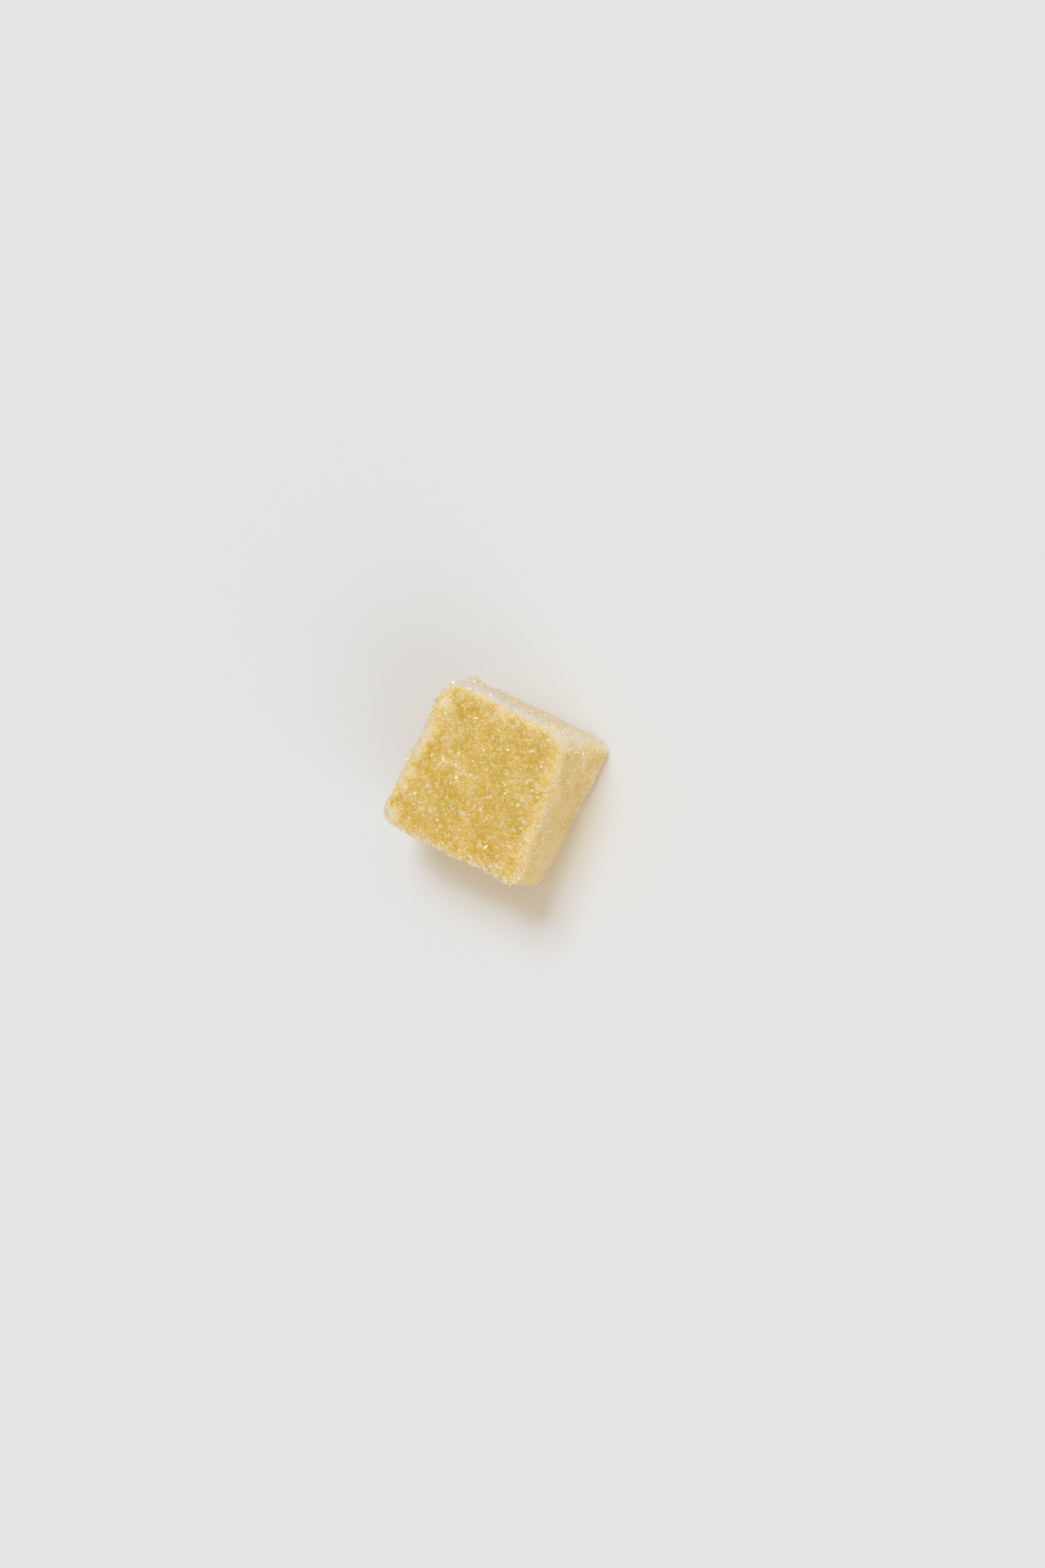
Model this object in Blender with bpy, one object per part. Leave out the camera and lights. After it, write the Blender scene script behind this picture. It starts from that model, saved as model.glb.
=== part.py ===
"""A sugar-coated gummy candy: a soft square block of fruit jelly, rolled in granulated sugar.

The block lies on its flat underside. It was cut from a soft slab, so each upright corner has its own
roundness, and its foot and its top lie a little off the plain box. The largest crystals of the sugar
coat stand out of the jelly, in one solid with it. +X is the right side, +Y the back, +Z up.
"""

import math

import bmesh
import bpy
import numpy as np

# The plain box that the block was cut to, in metres, with half of the fine sugar coat in it.
WIDTH = 0.0200
LENGTH = 0.0205
THICKNESS = 0.0140
EDGE_RADIUS = 0.0015

# Each upright corner by its side and end: its roundness seen from above, at its foot and at its
# top, and how far its foot and its top are pulled off the plain box along X and Y.
CORNERS = {
    (-1, -1): {"radii": (0.0023, 0.0023), "foot": (0.0000, -0.0001), "top": (-0.0001, -0.0005)},
    (1, -1): {"radii": (0.0018, 0.0019), "foot": (-0.0004, -0.0006), "top": (0.0011, 0.0001)},
    (-1, 1): {"radii": (0.0032, 0.0037), "foot": (0.0000, 0.0002), "top": (0.0002, 0.0003)},
    (1, 1): {"radii": (0.0016, 0.0027), "foot": (0.0006, 0.0006), "top": (-0.0016, -0.0001)},
}

# Low waves that leave the soft sides uneven, each one shorter than the last and turned from it by
# an angle in radians. They fade out over the foot's height, so the underside stays flat.
WAVE_COUNT = 6
WAVE_HEIGHT = 0.00004
LONGEST_WAVE = 0.0110
WAVE_SHRINK = 0.86
WAVE_TURN = 2.4
WAVE_RISE = 4.1
WAVE_SHIFT = 1.3
FLAT_FOOT = 0.0012

# The grid that the block's faces are divided into.
DIVISIONS = 14
EDGE_CROWDING = 1.4

# The crystals of coarse sugar that show one by one, smallest and largest, and how they lie.
CRYSTAL_COUNT = 260
CRYSTAL_LENGTH = (0.00052, 0.00092)
CRYSTAL_WIDTH = (0.62, 0.92)
CRYSTAL_HEIGHT = (0.50, 0.75)
CRYSTAL_TAPER = 0.74
CRYSTAL_SLANT = 0.16
CRYSTAL_UNEVEN = 0.07
CRYSTAL_TILT = math.radians(24)
SUNK_SHARE = (0.42, 0.60)
CANDIDATES = 7
CLEAR_OF_TABLE = 0.0008

# A little heap of crystals stuck together near the top of the back face, at its left end.
HEAP_PLACE = (-0.0069, 0.0106, 0.0104)
HEAP_CRYSTALS = 11
HEAP_SPREAD = (0.0011, 0.0008)
HEAP_RISE = 0.00055

# Each crystal takes this many random numbers for its size and pose, and then three for each corner.
SEED = 23
POSE_DRAWS = 7
CORNER_DRAWS = 8 * 3

# A direction that no face of the block looks in, from which the crystals' turns are counted.
ASKEW = (0.31, 0.87, 0.38)

SMOOTH_ANGLE = math.radians(32)


def clear_scene():
    """Removes whatever the scene holds."""
    for thing in list(bpy.data.objects):
        bpy.data.objects.remove(thing, do_unlink=True)


def make_material(name, colour, roughness):
    """A plain non-metal finish."""
    material = bpy.data.materials.new(name)
    material.use_nodes = True
    shader = material.node_tree.nodes["Principled BSDF"]
    shader.inputs["Base Color"].default_value = (*colour, 1)
    shader.inputs["Roughness"].default_value = roughness
    shader.inputs["Metallic"].default_value = 0
    return material


def between(limits, share):
    """The value at a share of the way between two limits."""
    return limits[0] + (limits[1] - limits[0]) * share


def corner_radii(cube):
    """The roundness, at each point's own height, of the upright corner that is nearest to it."""
    sides = np.where(cube[:, 0] > 0, 1, -1)
    ends = np.where(cube[:, 1] > 0, 1, -1)
    level = (1 + cube[:, 2]) / 2
    radii = np.zeros(len(cube))
    for (side, end), corner in CORNERS.items():
        near = (sides == side) & (ends == end)
        radii[near] = between(corner["radii"], level[near])
    return radii


def rounded_box(cube):
    """Takes points on the cube from -1 to 1 to the plain box with its edges and corners rounded.

    Gives the points, with the box's middle at the origin, and the direction out of the surface there.
    """
    half = np.array([WIDTH, LENGTH, THICKNESS]) / 2
    flat = cube * half
    radii = corner_radii(cube)
    straight = half[:2] - radii[:, None]
    inner = np.clip(np.abs(flat[:, :2]), 0, straight)
    beyond = np.abs(flat[:, :2]) - inner
    reach = np.maximum(np.linalg.norm(beyond, axis=1), 1e-9)
    inner += beyond * np.minimum(1, (radii - EDGE_RADIUS) / reach)[:, None]
    spine = np.empty_like(flat)
    spine[:, :2] = inner * np.where(cube[:, :2] > 0, 1, -1)
    spine[:, 2] = np.clip(flat[:, 2], EDGE_RADIUS - half[2], half[2] - EDGE_RADIUS)
    out = flat - spine
    out /= np.maximum(np.linalg.norm(out, axis=1), 1e-9)[:, None]
    return spine + EDGE_RADIUS * out, out


def pulled(points):
    """How far each point moves when the feet and tops of the corners are pulled off the plain box."""
    share = np.clip(points / (np.array([WIDTH, LENGTH, THICKNESS]) / 2), -1, 1)
    move = np.zeros_like(points)
    for (side, end), corner in CORNERS.items():
        near = (1 + side * share[:, 0]) * (1 + end * share[:, 1]) / 4
        for level, pull in ((-1, corner["foot"]), (1, corner["top"])):
            weight = near * (1 + level * share[:, 2]) / 2
            move[:, 0] += weight * pull[0]
            move[:, 1] += weight * pull[1]
    return move


def waves(points):
    """The height of the low waves in the soft surface, in metres, none of it at the underside."""
    height = np.zeros(len(points))
    for k in range(WAVE_COUNT):
        turn = WAVE_TURN * k
        heading = np.array([math.cos(turn), math.sin(turn), math.cos(WAVE_RISE * k)])
        length = LONGEST_WAVE * WAVE_SHRINK**k
        height += WAVE_HEIGHT * np.sin(points @ heading * (2 * math.pi / length) + WAVE_SHIFT * k)
    above = np.clip((points[:, 2] + THICKNESS / 2) / FLAT_FOOT, 0, 1)
    return height * above**2


def block_surface(cube):
    """Points of the block's surface, standing on z = 0, and the direction out of the surface there."""
    points, out = rounded_box(cube)
    points = points + pulled(points) + out * waves(points)[:, None]
    points[:, 2] += THICKNESS / 2
    return points, out


def crowd(values):
    """Draws even steps from -1 to 1 towards both ends, so that the rounded edges get more of them."""
    return np.sign(values) * (1 - (1 - np.abs(values)) ** EDGE_CROWDING)


def make_jelly(name, materials):
    """The block of jelly, with its underside as one flat face."""
    shape = bmesh.new()
    bmesh.ops.create_cube(shape, size=2)
    bmesh.ops.subdivide_edges(shape, edges=shape.edges[:], cuts=DIVISIONS - 1, use_grid_fill=True)
    cube = np.array([corner.co[:] for corner in shape.verts])
    points, _ = block_surface(crowd(np.clip(cube, -1, 1)))
    for corner, point in zip(shape.verts, points):
        corner.co = point
    flat = [face for face in shape.faces if max(corner.co.z for corner in face.verts) < 1e-7]
    bmesh.ops.dissolve_faces(shape, faces=flat, use_verts=True)
    bmesh.ops.recalc_face_normals(shape, faces=shape.faces[:])
    mesh = bpy.data.meshes.new(name)
    shape.to_mesh(mesh)
    shape.free()
    for material in materials:
        mesh.materials.append(material)
    jelly = bpy.data.objects.new(name, mesh)
    bpy.context.scene.collection.objects.link(jelly)
    return jelly


def random_cube_points(rng, count):
    """Points spread at random over the cube's faces, by each face's real area."""
    size = np.array([WIDTH, LENGTH, THICKNESS])
    areas = np.prod(size) / size
    axis = rng.choice(3, size=count, p=areas / areas.sum())
    side = rng.choice((-1.0, 1.0), size=count)
    cube = rng.uniform(-1, 1, size=(count, 3))
    cube[np.arange(count), axis] = side
    return cube


def coarse_spots(rng):
    """Evenly spread places for the coarse crystals: each is the candidate furthest from those before."""
    points, out = block_surface(random_cube_points(rng, CRYSTAL_COUNT * CANDIDATES * 2))
    high = points[:, 2] > CLEAR_OF_TABLE
    points, out = points[high], out[high]
    chosen = [0]
    for k in range(1, CRYSTAL_COUNT):
        some = np.arange(k * CANDIDATES, (k + 1) * CANDIDATES) % len(points)
        gaps = np.linalg.norm(points[some, None] - points[None, chosen], axis=2).min(axis=1)
        chosen.append(some[gaps.argmax()])
    return points[chosen], out[chosen]


def heap_spots(rng):
    """Places for the crystals of the heap, the first on the jelly and the last on top of the others."""
    _, out = rounded_box(np.array([[HEAP_PLACE[0] / (WIDTH / 2), 1.0, 0.4]]))
    step = np.arange(HEAP_CRYSTALS)
    level = step / (HEAP_CRYSTALS - 1)
    turn = step * math.pi * (3 - math.sqrt(5)) + rng.uniform(0, 1)
    inward = np.sqrt(1 - level)
    places = np.array(HEAP_PLACE) + np.outer(HEAP_RISE * level, out[0])
    places[:, 0] += HEAP_SPREAD[0] * inward * np.cos(turn)
    places[:, 2] += HEAP_SPREAD[1] * inward * np.sin(turn)
    return places, np.repeat(out, HEAP_CRYSTALS, axis=0)


def crystal_corners(point, out, draw):
    """The eight corners of one crystal: four at its foot, in the jelly, and four at its narrower top.

    draw holds random numbers from 0 to 1 for its size, turn, tilt and uneven corners.
    """
    long_draw, wide_draw, high_draw, sunk_draw, turn_draw, *lean_draws = draw[:POSE_DRAWS]
    length = between(CRYSTAL_LENGTH, long_draw**2)
    width = length * between(CRYSTAL_WIDTH, wide_draw)
    height = length * between(CRYSTAL_HEIGHT, high_draw)
    sunk = height * between(SUNK_SHARE, sunk_draw)
    corners = []
    for rise, share in ((0, 1), (1, CRYSTAL_TAPER)):
        for side, end in ((-1, -1), (1, -1), (1, 1), (-1, 1)):
            along = side * share * length / 2 + CRYSTAL_SLANT * length * rise
            corners.append((along, end * share * width / 2, rise * height - sunk))
    corners = np.array(corners)
    corners += (draw[POSE_DRAWS:].reshape(8, 3) * 2 - 1) * CRYSTAL_UNEVEN * length
    aside = np.cross(out, ASKEW)
    aside /= np.linalg.norm(aside)
    across = np.cross(out, aside)
    turn = 2 * math.pi * turn_draw
    first = math.cos(turn) * aside + math.sin(turn) * across
    second = np.cross(out, first)
    lean = CRYSTAL_TILT * (2 * np.array(lean_draws) - 1)
    upward = out + math.tan(lean[0]) * first + math.tan(lean[1]) * second
    upward /= np.linalg.norm(upward)
    second = np.cross(upward, first)
    second /= np.linalg.norm(second)
    first = np.cross(second, upward)
    return point + corners @ np.array([first, second, upward])


def make_crystal(corners, materials, collection):
    """One crystal as a closed solid: the hull of its corners."""
    shape = bmesh.new()
    for corner in corners:
        shape.verts.new(corner)
    bmesh.ops.convex_hull(shape, input=shape.verts[:])
    mesh = bpy.data.meshes.new("crystal")
    shape.to_mesh(mesh)
    shape.free()
    for material in materials:
        mesh.materials.append(material)
    for face in mesh.polygons:
        face.material_index = 1
    crystal = bpy.data.objects.new("crystal", mesh)
    collection.objects.link(crystal)


def fuse(body, collection):
    """Joins every object of the collection to the body in one union, then removes them."""
    union = body.modifiers.new("fused_sugar", "BOOLEAN")
    union.operation = "UNION"
    union.operand_type = "COLLECTION"
    union.collection = collection
    graph = bpy.context.evaluated_depsgraph_get()
    joined = bpy.data.meshes.new_from_object(body.evaluated_get(graph))
    body.modifiers.clear()
    body.data = joined
    for crystal in list(collection.objects):
        bpy.data.objects.remove(crystal, do_unlink=True)
    bpy.data.collections.remove(collection)


def stand_on_origin(body):
    """Puts the middle of the body's box over the origin, with the underside on z = 0."""
    points = np.array([corner.co[:] for corner in body.data.vertices])
    low, high = points.min(axis=0), points.max(axis=0)
    points -= ((low[0] + high[0]) / 2, (low[1] + high[1]) / 2, low[2])
    for corner, point in zip(body.data.vertices, points):
        corner.co = point


def make_gummy():
    """The whole candy."""
    rng = np.random.default_rng(SEED)
    materials = [
        make_material("fruit_jelly", (0.66, 0.42, 0.09), 0.42),
        make_material("sugar_crystals", (0.80, 0.66, 0.40), 0.22),
    ]
    gummy = make_jelly("gummy", materials)
    grains = bpy.data.collections.new("grains")
    bpy.context.scene.collection.children.link(grains)
    for points, out in (coarse_spots(rng), heap_spots(rng)):
        draws = rng.random((len(points), POSE_DRAWS + CORNER_DRAWS))
        for point, way, draw in zip(points, out, draws):
            make_crystal(crystal_corners(point, way, draw), materials, grains)
    fuse(gummy, grains)
    stand_on_origin(gummy)
    gummy.data.shade_smooth()
    gummy.data.set_sharp_from_angle(angle=SMOOTH_ANGLE)


clear_scene()
make_gummy()
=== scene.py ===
# %% [markdown]
# A sugar-coated gummy candy
#
# The real thing is a soft block of fruit jelly, cut from a slab and rolled in granulated sugar while
# it was still damp. So there are two things to model. The jelly is yellow, smooth and lets light
# through. The sugar is many thousands of tiny clear crystals, half sunk in the jelly.
#
# From far away, one block with a speckled, bumpy material would do. Close up its outline would be too
# smooth, and no grain would catch the light or hide what lies behind it. So here every grain is real
# geometry.
#
# The packed solid holds the block and its largest crystals as one rigid body. It stays in the scene
# for its collision, but it isn't shown. The jelly and the sugar are made again, in the same place and
# to the same form, as pieces that each have a finish of their own.

# %% Load the frame
import math
from collections import namedtuple

import bmesh
import bpy
import numpy as np
from mathutils import Euler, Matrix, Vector, kdtree


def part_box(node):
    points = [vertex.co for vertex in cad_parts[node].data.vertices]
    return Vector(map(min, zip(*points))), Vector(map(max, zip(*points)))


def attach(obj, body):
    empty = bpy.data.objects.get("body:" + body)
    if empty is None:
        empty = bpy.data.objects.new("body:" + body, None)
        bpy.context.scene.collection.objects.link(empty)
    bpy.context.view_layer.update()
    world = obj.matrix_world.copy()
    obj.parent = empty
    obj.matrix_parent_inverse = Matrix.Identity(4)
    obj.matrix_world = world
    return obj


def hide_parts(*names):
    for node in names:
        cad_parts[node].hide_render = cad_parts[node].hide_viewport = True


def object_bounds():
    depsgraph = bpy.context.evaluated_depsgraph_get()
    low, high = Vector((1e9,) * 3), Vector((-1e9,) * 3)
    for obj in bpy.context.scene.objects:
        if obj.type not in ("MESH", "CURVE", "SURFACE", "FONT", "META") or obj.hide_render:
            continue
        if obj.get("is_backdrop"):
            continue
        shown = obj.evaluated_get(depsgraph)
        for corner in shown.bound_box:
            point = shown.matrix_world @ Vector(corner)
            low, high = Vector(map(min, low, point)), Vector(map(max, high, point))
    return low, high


MILLIMETRES = 1000

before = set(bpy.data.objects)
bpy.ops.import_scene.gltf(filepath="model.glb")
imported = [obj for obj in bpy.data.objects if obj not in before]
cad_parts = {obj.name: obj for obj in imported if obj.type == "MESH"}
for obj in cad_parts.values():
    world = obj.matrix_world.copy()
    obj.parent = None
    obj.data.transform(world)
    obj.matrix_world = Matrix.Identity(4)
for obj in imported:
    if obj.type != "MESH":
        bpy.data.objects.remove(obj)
cad_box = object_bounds()
print("The packed candy measures", [round(MILLIMETRES * side, 2) for side in cad_box[1] - cad_box[0]], "mm")

# %% [markdown]
# The form of the block
#
# A slab of jelly is cut into squares by hand or wire, so no corner is quite like another. The block
# could be sculpted, but then nobody could say how large it is. Here it is a box with rounded edges
# whose four upright corners each have a roundness, and whose foot and top are pulled a little off
# the plain box. The numbers are those of the packed solid, in metres.

# %% The sizes of the block
WIDTH = 0.0200
LENGTH = 0.0205
THICKNESS = 0.0140
EDGE_RADIUS = 0.0015
HALF = np.array([WIDTH, LENGTH, THICKNESS]) / 2
NEVER_ZERO = 1e-9

# Each upright corner by its side in x and in y: its radius at the foot and at the top, and how far its
# foot and its top are pulled in x and y.
CORNERS = {
    (-1, -1): {"radii": (0.0023, 0.0023), "foot": (0.0000, -0.0001), "top": (-0.0001, -0.0005)},
    (1, -1): {"radii": (0.0018, 0.0019), "foot": (-0.0004, -0.0006), "top": (0.0011, 0.0001)},
    (-1, 1): {"radii": (0.0032, 0.0037), "foot": (0.0000, 0.0002), "top": (0.0002, 0.0003)},
    (1, 1): {"radii": (0.0016, 0.0027), "foot": (0.0006, 0.0006), "top": (-0.0016, -0.0001)},
}


def between(limits, share):
    """The value at a share of the way between two limits."""
    return limits[0] + (limits[1] - limits[0]) * share


def unit(vectors):
    """The same directions, one unit long."""
    return vectors / np.maximum(np.linalg.norm(vectors, axis=-1, keepdims=True), NEVER_ZERO)


print("The plain block is", *(round(2 * MILLIMETRES * half, 2) for half in HALF), "mm")

# %% [markdown]
# From a cube to the block
#
# The edges of cut jelly round off while it dries. A Bevel modifier rounds edges too, but only those of
# a finished mesh. Here every point of the block comes from a point on a cube that runs from -1 to 1.
# The same function then gives the jelly's mesh, from the corners of a grid, and the places of the
# sugar, from points thrown at random. It works on whole arrays of points, which is quick.

# %% The rounded box
def rounded_box(cube):
    """Takes points on the cube to the plain box with its edges rounded, and gives the way out there."""
    flat = cube * HALF
    sides = np.where(cube[:, 0] > 0, 1, -1)
    ends = np.where(cube[:, 1] > 0, 1, -1)
    radii = np.zeros(len(cube))
    for (side, end), corner in CORNERS.items():
        near = (sides == side) & (ends == end)
        radii[near] = between(corner["radii"], (1 + cube[near, 2]) / 2)
    straight = HALF[:2] - radii[:, None]
    inner = np.clip(np.abs(flat[:, :2]), 0, straight)
    beyond = np.abs(flat[:, :2]) - inner
    reach = np.maximum(np.linalg.norm(beyond, axis=1), NEVER_ZERO)
    inner += beyond * np.minimum(1, (radii - EDGE_RADIUS) / reach)[:, None]
    spine = np.empty_like(flat)
    spine[:, :2] = inner * np.where(cube[:, :2] > 0, 1, -1)
    spine[:, 2] = np.clip(flat[:, 2], EDGE_RADIUS - HALF[2], HALF[2] - EDGE_RADIUS)
    out = unit(flat - spine)
    return spine + EDGE_RADIUS * out, out


right_point = rounded_box(np.array([[1.0, 0.0, 0.0]]))[0][0]
print("The middle of the right side is at", np.round(MILLIMETRES * right_point, 2), "mm")

# %% [markdown]
# Uneven corners and soft sides
#
# The wire pulls the soft slab a little out of square, and the sides of each block end up in low swells.
# A Lattice and a Displace modifier would do the same to a mesh. As a formula, it moves the block and
# each spot of sugar on it by the same amount, so the sugar never floats or sinks.

# %% Pull the corners and wave the sides
WAVE_COUNT = 6
WAVE_HEIGHT = 0.00004
LONGEST_WAVE = 0.0110
WAVE_SHRINK = 0.86
WAVE_TURN = 2.4
WAVE_RISE = 4.1
WAVE_SHIFT = 1.3
FLAT_FOOT = 0.0012


def pulled(points):
    """How far each point moves when the feet and tops of the corners are pulled off the plain box."""
    share = np.clip(points / HALF, -1, 1)
    move = np.zeros_like(points)
    for (side, end), corner in CORNERS.items():
        near = (1 + side * share[:, 0]) * (1 + end * share[:, 1]) / 4
        for level, pull in ((-1, corner["foot"]), (1, corner["top"])):
            weight = near * (1 + level * share[:, 2]) / 2
            move[:, 0] += weight * pull[0]
            move[:, 1] += weight * pull[1]
    return move


def waves(points):
    """The height of the low waves in the soft surface, none of it at the underside."""
    height = np.zeros(len(points))
    for k in range(WAVE_COUNT):
        turn = WAVE_TURN * k
        heading = np.array([math.cos(turn), math.sin(turn), math.cos(WAVE_RISE * k)])
        length = LONGEST_WAVE * WAVE_SHRINK**k
        height += WAVE_HEIGHT * np.sin(points @ heading * (2 * math.pi / length) + WAVE_SHIFT * k)
    above = np.clip((points[:, 2] + HALF[2]) / FLAT_FOOT, 0, 1)
    return height * above**2


def block_surface(cube):
    """Points of the block's surface, standing on z = 0, and the direction out of the surface there."""
    points, out = rounded_box(cube)
    points = points + pulled(points) + out * waves(points)[:, None]
    points[:, 2] += HALF[2]
    return points, out


top_point = block_surface(np.array([[0.0, 0.0, 1.0]]))[0][0]
print("The middle of the top is", round(MILLIMETRES * top_point[2], 2), "mm high")

# %% [markdown]
# The shape of a sugar crystal
#
# Granulated sugar is crushed and sifted crystal: little blocks, a bit longer than wide, with a narrower
# top, slanting sides and uneven corners. Copies of one modelled crystal would look alike, as rice from
# one mould. So a crystal is described by eight corners, worked out from its sizes and a row of random
# numbers, and all crystals of a kind are worked out at once, as one array.

# %% Eight corners for each crystal
Kind = namedtuple("Kind", "width height taper slant uneven tilt")

# The random numbers of a crystal are, in order, for its length, width, height, depth, turn and two
# leans, and then three for each corner.
TURN_DRAW = 4
POSE_DRAWS = 7
DRAWS = POSE_DRAWS + 8 * 3
ASKEW = (0.31, 0.87, 0.38)
CUBE_CORNERS = np.array([(x, y, z) for z in (0, 1) for x, y in ((-1, -1), (1, -1), (1, 1), (-1, 1))])


def crystal_axes(out, draws, tilt):
    """Three directions for each crystal, the last of them about out of the jelly."""
    level = unit(np.cross(out, ASKEW))
    across = np.cross(out, level)
    turn = 2 * math.pi * draws[:, TURN_DRAW, None]
    first = np.cos(turn) * level + np.sin(turn) * across
    second = np.cross(out, first)
    lean = np.tan(tilt * (2 * draws[:, TURN_DRAW + 1:POSE_DRAWS] - 1))
    top = unit(out + lean[:, :1] * first + lean[:, 1:] * second)
    second = unit(np.cross(top, first))
    return np.stack([np.cross(second, top), second, top], axis=1)


def crystal_corners(points, out, draws, kind, length, sunk):
    """The corners of many crystals, as an array of crystals by eight corners by x, y and z.

    sunk is how deep each foot lies under its point, as a share of the crystal's height.
    """
    width = length * between(kind.width, draws[:, 1])
    height = length * between(kind.height, draws[:, 2])
    rise = CUBE_CORNERS[:, 2]
    share = 1 + (kind.taper - 1) * rise
    along = np.outer(length / 2, CUBE_CORNERS[:, 0] * share) + np.outer(length, kind.slant * rise)
    aside = np.outer(width / 2, CUBE_CORNERS[:, 1] * share)
    upward = np.outer(height, rise) - (height * sunk)[:, None]
    corners = np.stack([along, aside, upward], axis=2)
    corners += (draws[:, POSE_DRAWS:].reshape(-1, 8, 3) * 2 - 1) * (kind.uneven * length)[:, None, None]
    return points[:, None] + corners @ crystal_axes(out, draws, kind.tilt)


print("A crystal takes", DRAWS, "random numbers")

# %% [markdown]
# Places for the coarse crystals
#
# The largest crystals stand out of the packed solid one by one, spread evenly but in no pattern. Their
# places could be read from the solid's mesh, which would give a long list that says nothing. Instead
# this cell draws the same random numbers in the same order as the solid did.

# %% Spread places over the block
SEED = 23
CRYSTAL_COUNT = 260
CANDIDATES = 7
CLEAR_OF_TABLE = 0.0008


def random_cube_points(rng, count):
    """Points spread at random over the cube's faces, by each face's real area."""
    size = 2 * HALF
    areas = np.prod(size) / size
    axis = rng.choice(3, size=count, p=areas / areas.sum())
    side = rng.choice((-1.0, 1.0), size=count)
    cube = rng.uniform(-1, 1, size=(count, 3))
    cube[np.arange(count), axis] = side
    return cube


def coarse_spots(rng):
    """Evenly spread places for the coarse crystals: each is the candidate furthest from those before."""
    points, out = block_surface(random_cube_points(rng, CRYSTAL_COUNT * CANDIDATES * 2))
    high = points[:, 2] > CLEAR_OF_TABLE
    points, out = points[high], out[high]
    chosen = [0]
    for k in range(1, CRYSTAL_COUNT):
        some = np.arange(k * CANDIDATES, (k + 1) * CANDIDATES) % len(points)
        gaps = np.linalg.norm(points[some, None] - points[None, chosen], axis=2).min(axis=1)
        chosen.append(some[gaps.argmax()])
    return points[chosen], out[chosen]


rng = np.random.default_rng(SEED)
coarse_places = coarse_spots(rng)
print(len(coarse_places[0]), "places for coarse crystals")

# %% [markdown]
# The heap of crystals
#
# Near the top of the back face a few coarse crystals have stuck together in a little heap. Dropping
# them by a rigid body simulation would pile them up well, but each run could end differently. A spiral
# that winds inward while it rises gives the same round heap, by the rule that seeds follow in a
# sunflower.

# %% Pile up the heap
HEAP_PLACE = (-0.0069, 0.0106, 0.0104)
# The same place on the cube, which tells the way out of the jelly there.
HEAP_FACE = (HEAP_PLACE[0] / HALF[0], 1.0, 0.4)
HEAP_CRYSTALS = 11
HEAP_SPREAD = (0.0011, 0.0008)
HEAP_RISE = 0.00055
SUNFLOWER_TURN = math.pi * (3 - math.sqrt(5))


def heap_spots(rng):
    """Places for the crystals of the heap, the first on the jelly and the last on top of the others."""
    _, out = rounded_box(np.array([HEAP_FACE]))
    step = np.arange(HEAP_CRYSTALS)
    level = step / (HEAP_CRYSTALS - 1)
    turn = step * SUNFLOWER_TURN + rng.uniform(0, 1)
    inward = np.sqrt(1 - level)
    places = np.array(HEAP_PLACE) + np.outer(HEAP_RISE * level, out[0])
    places[:, 0] += HEAP_SPREAD[0] * inward * np.cos(turn)
    places[:, 2] += HEAP_SPREAD[1] * inward * np.sin(turn)
    return places, np.repeat(out, HEAP_CRYSTALS, axis=0)


heap_places = heap_spots(rng)
print(len(heap_places[0]), "places in the heap")

# %% [markdown]
# The coarse crystals, where the packed solid has them
#
# With their places known, the crystals get their sizes. Few are large, as in real sugar, and squaring
# the random number sees to that. The solid was moved at the end so that the middle of its box lies over
# the origin, so the same shift is worked out here from the packed node's box.

# %% The same crystals again
COARSE = Kind((0.62, 0.92), (0.50, 0.75), 0.74, 0.16, 0.07, math.radians(24))
COARSE_LENGTH = (0.00052, 0.00092)
COARSE_SUNK = (0.42, 0.60)


def coarse_crystals(places, draws):
    """The corners of crystals of the coarse kind."""
    length = between(COARSE_LENGTH, draws[:, 0] ** 2)
    return crystal_corners(*places, draws, COARSE, length, between(COARSE_SUNK, draws[:, 3]))


coarse_corners = coarse_crystals(coarse_places, rng.random((CRYSTAL_COUNT, DRAWS)))
heap_corners = coarse_crystals(heap_places, rng.random((HEAP_CRYSTALS, DRAWS)))

reach = np.concatenate([coarse_corners.reshape(-1, 3), heap_corners.reshape(-1, 3)])
node_low, node_high = (np.array(corner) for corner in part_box("gummy"))
origin_shift = (node_low + node_high) / 2 - (reach.min(axis=0) + reach.max(axis=0)) / 2
origin_shift[2] = 0
print("The block's frame is shifted by", np.round(MILLIMETRES * origin_shift, 3), "mm")
print("Lowest corner of the crystals", np.round(MILLIMETRES * (reach.min(axis=0) + origin_shift), 2), "mm")
print("Highest corner of the crystals", np.round(MILLIMETRES * (reach.max(axis=0) + origin_shift), 2), "mm")

# %% [markdown]
# The camera
#
# The camera looks down steeply on the candy from a long way off, through an ordinary lens. It could be
# placed by eye, but a block shows every error in its slanting edges. So its place was found by matching
# both the outline and the edges between the faces, which gets the block's foreshortening right too.

# %% Place the camera
CAMERA_PLACE = np.array([0.09402, 0.02455, 0.27234])
CAMERA_TURN = (4.178, 18.947, 27.055)
LENS = 50
NEAREST_SEEN = 0.01

camera = bpy.data.objects.new("camera", bpy.data.cameras.new("camera"))
camera.location = CAMERA_PLACE + origin_shift
camera.rotation_euler = Euler([math.radians(angle) for angle in CAMERA_TURN])
camera.data.lens = LENS
camera.data.clip_start = NEAREST_SEEN
bpy.context.scene.collection.objects.link(camera)
bpy.context.scene.camera = camera
print("The camera is", round(MILLIMETRES * camera.location.length), "mm from the candy")

# %% [markdown]
# Soft random fields
#
# Sugar is never spread evenly: it has bare spots, clusters and whiter patches, with soft borders. A
# Noise texture would show that in a material only. Here the grains themselves need it too, so a field
# is worked out at any points, as a sum of plane waves that run in all directions. A few dozen waves are
# enough to hide every sign of a pattern.

# %% Fields and sides
TRIAL_PLACES = 2000
TRIAL_LENGTHS = (0.001, 0.003)


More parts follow.
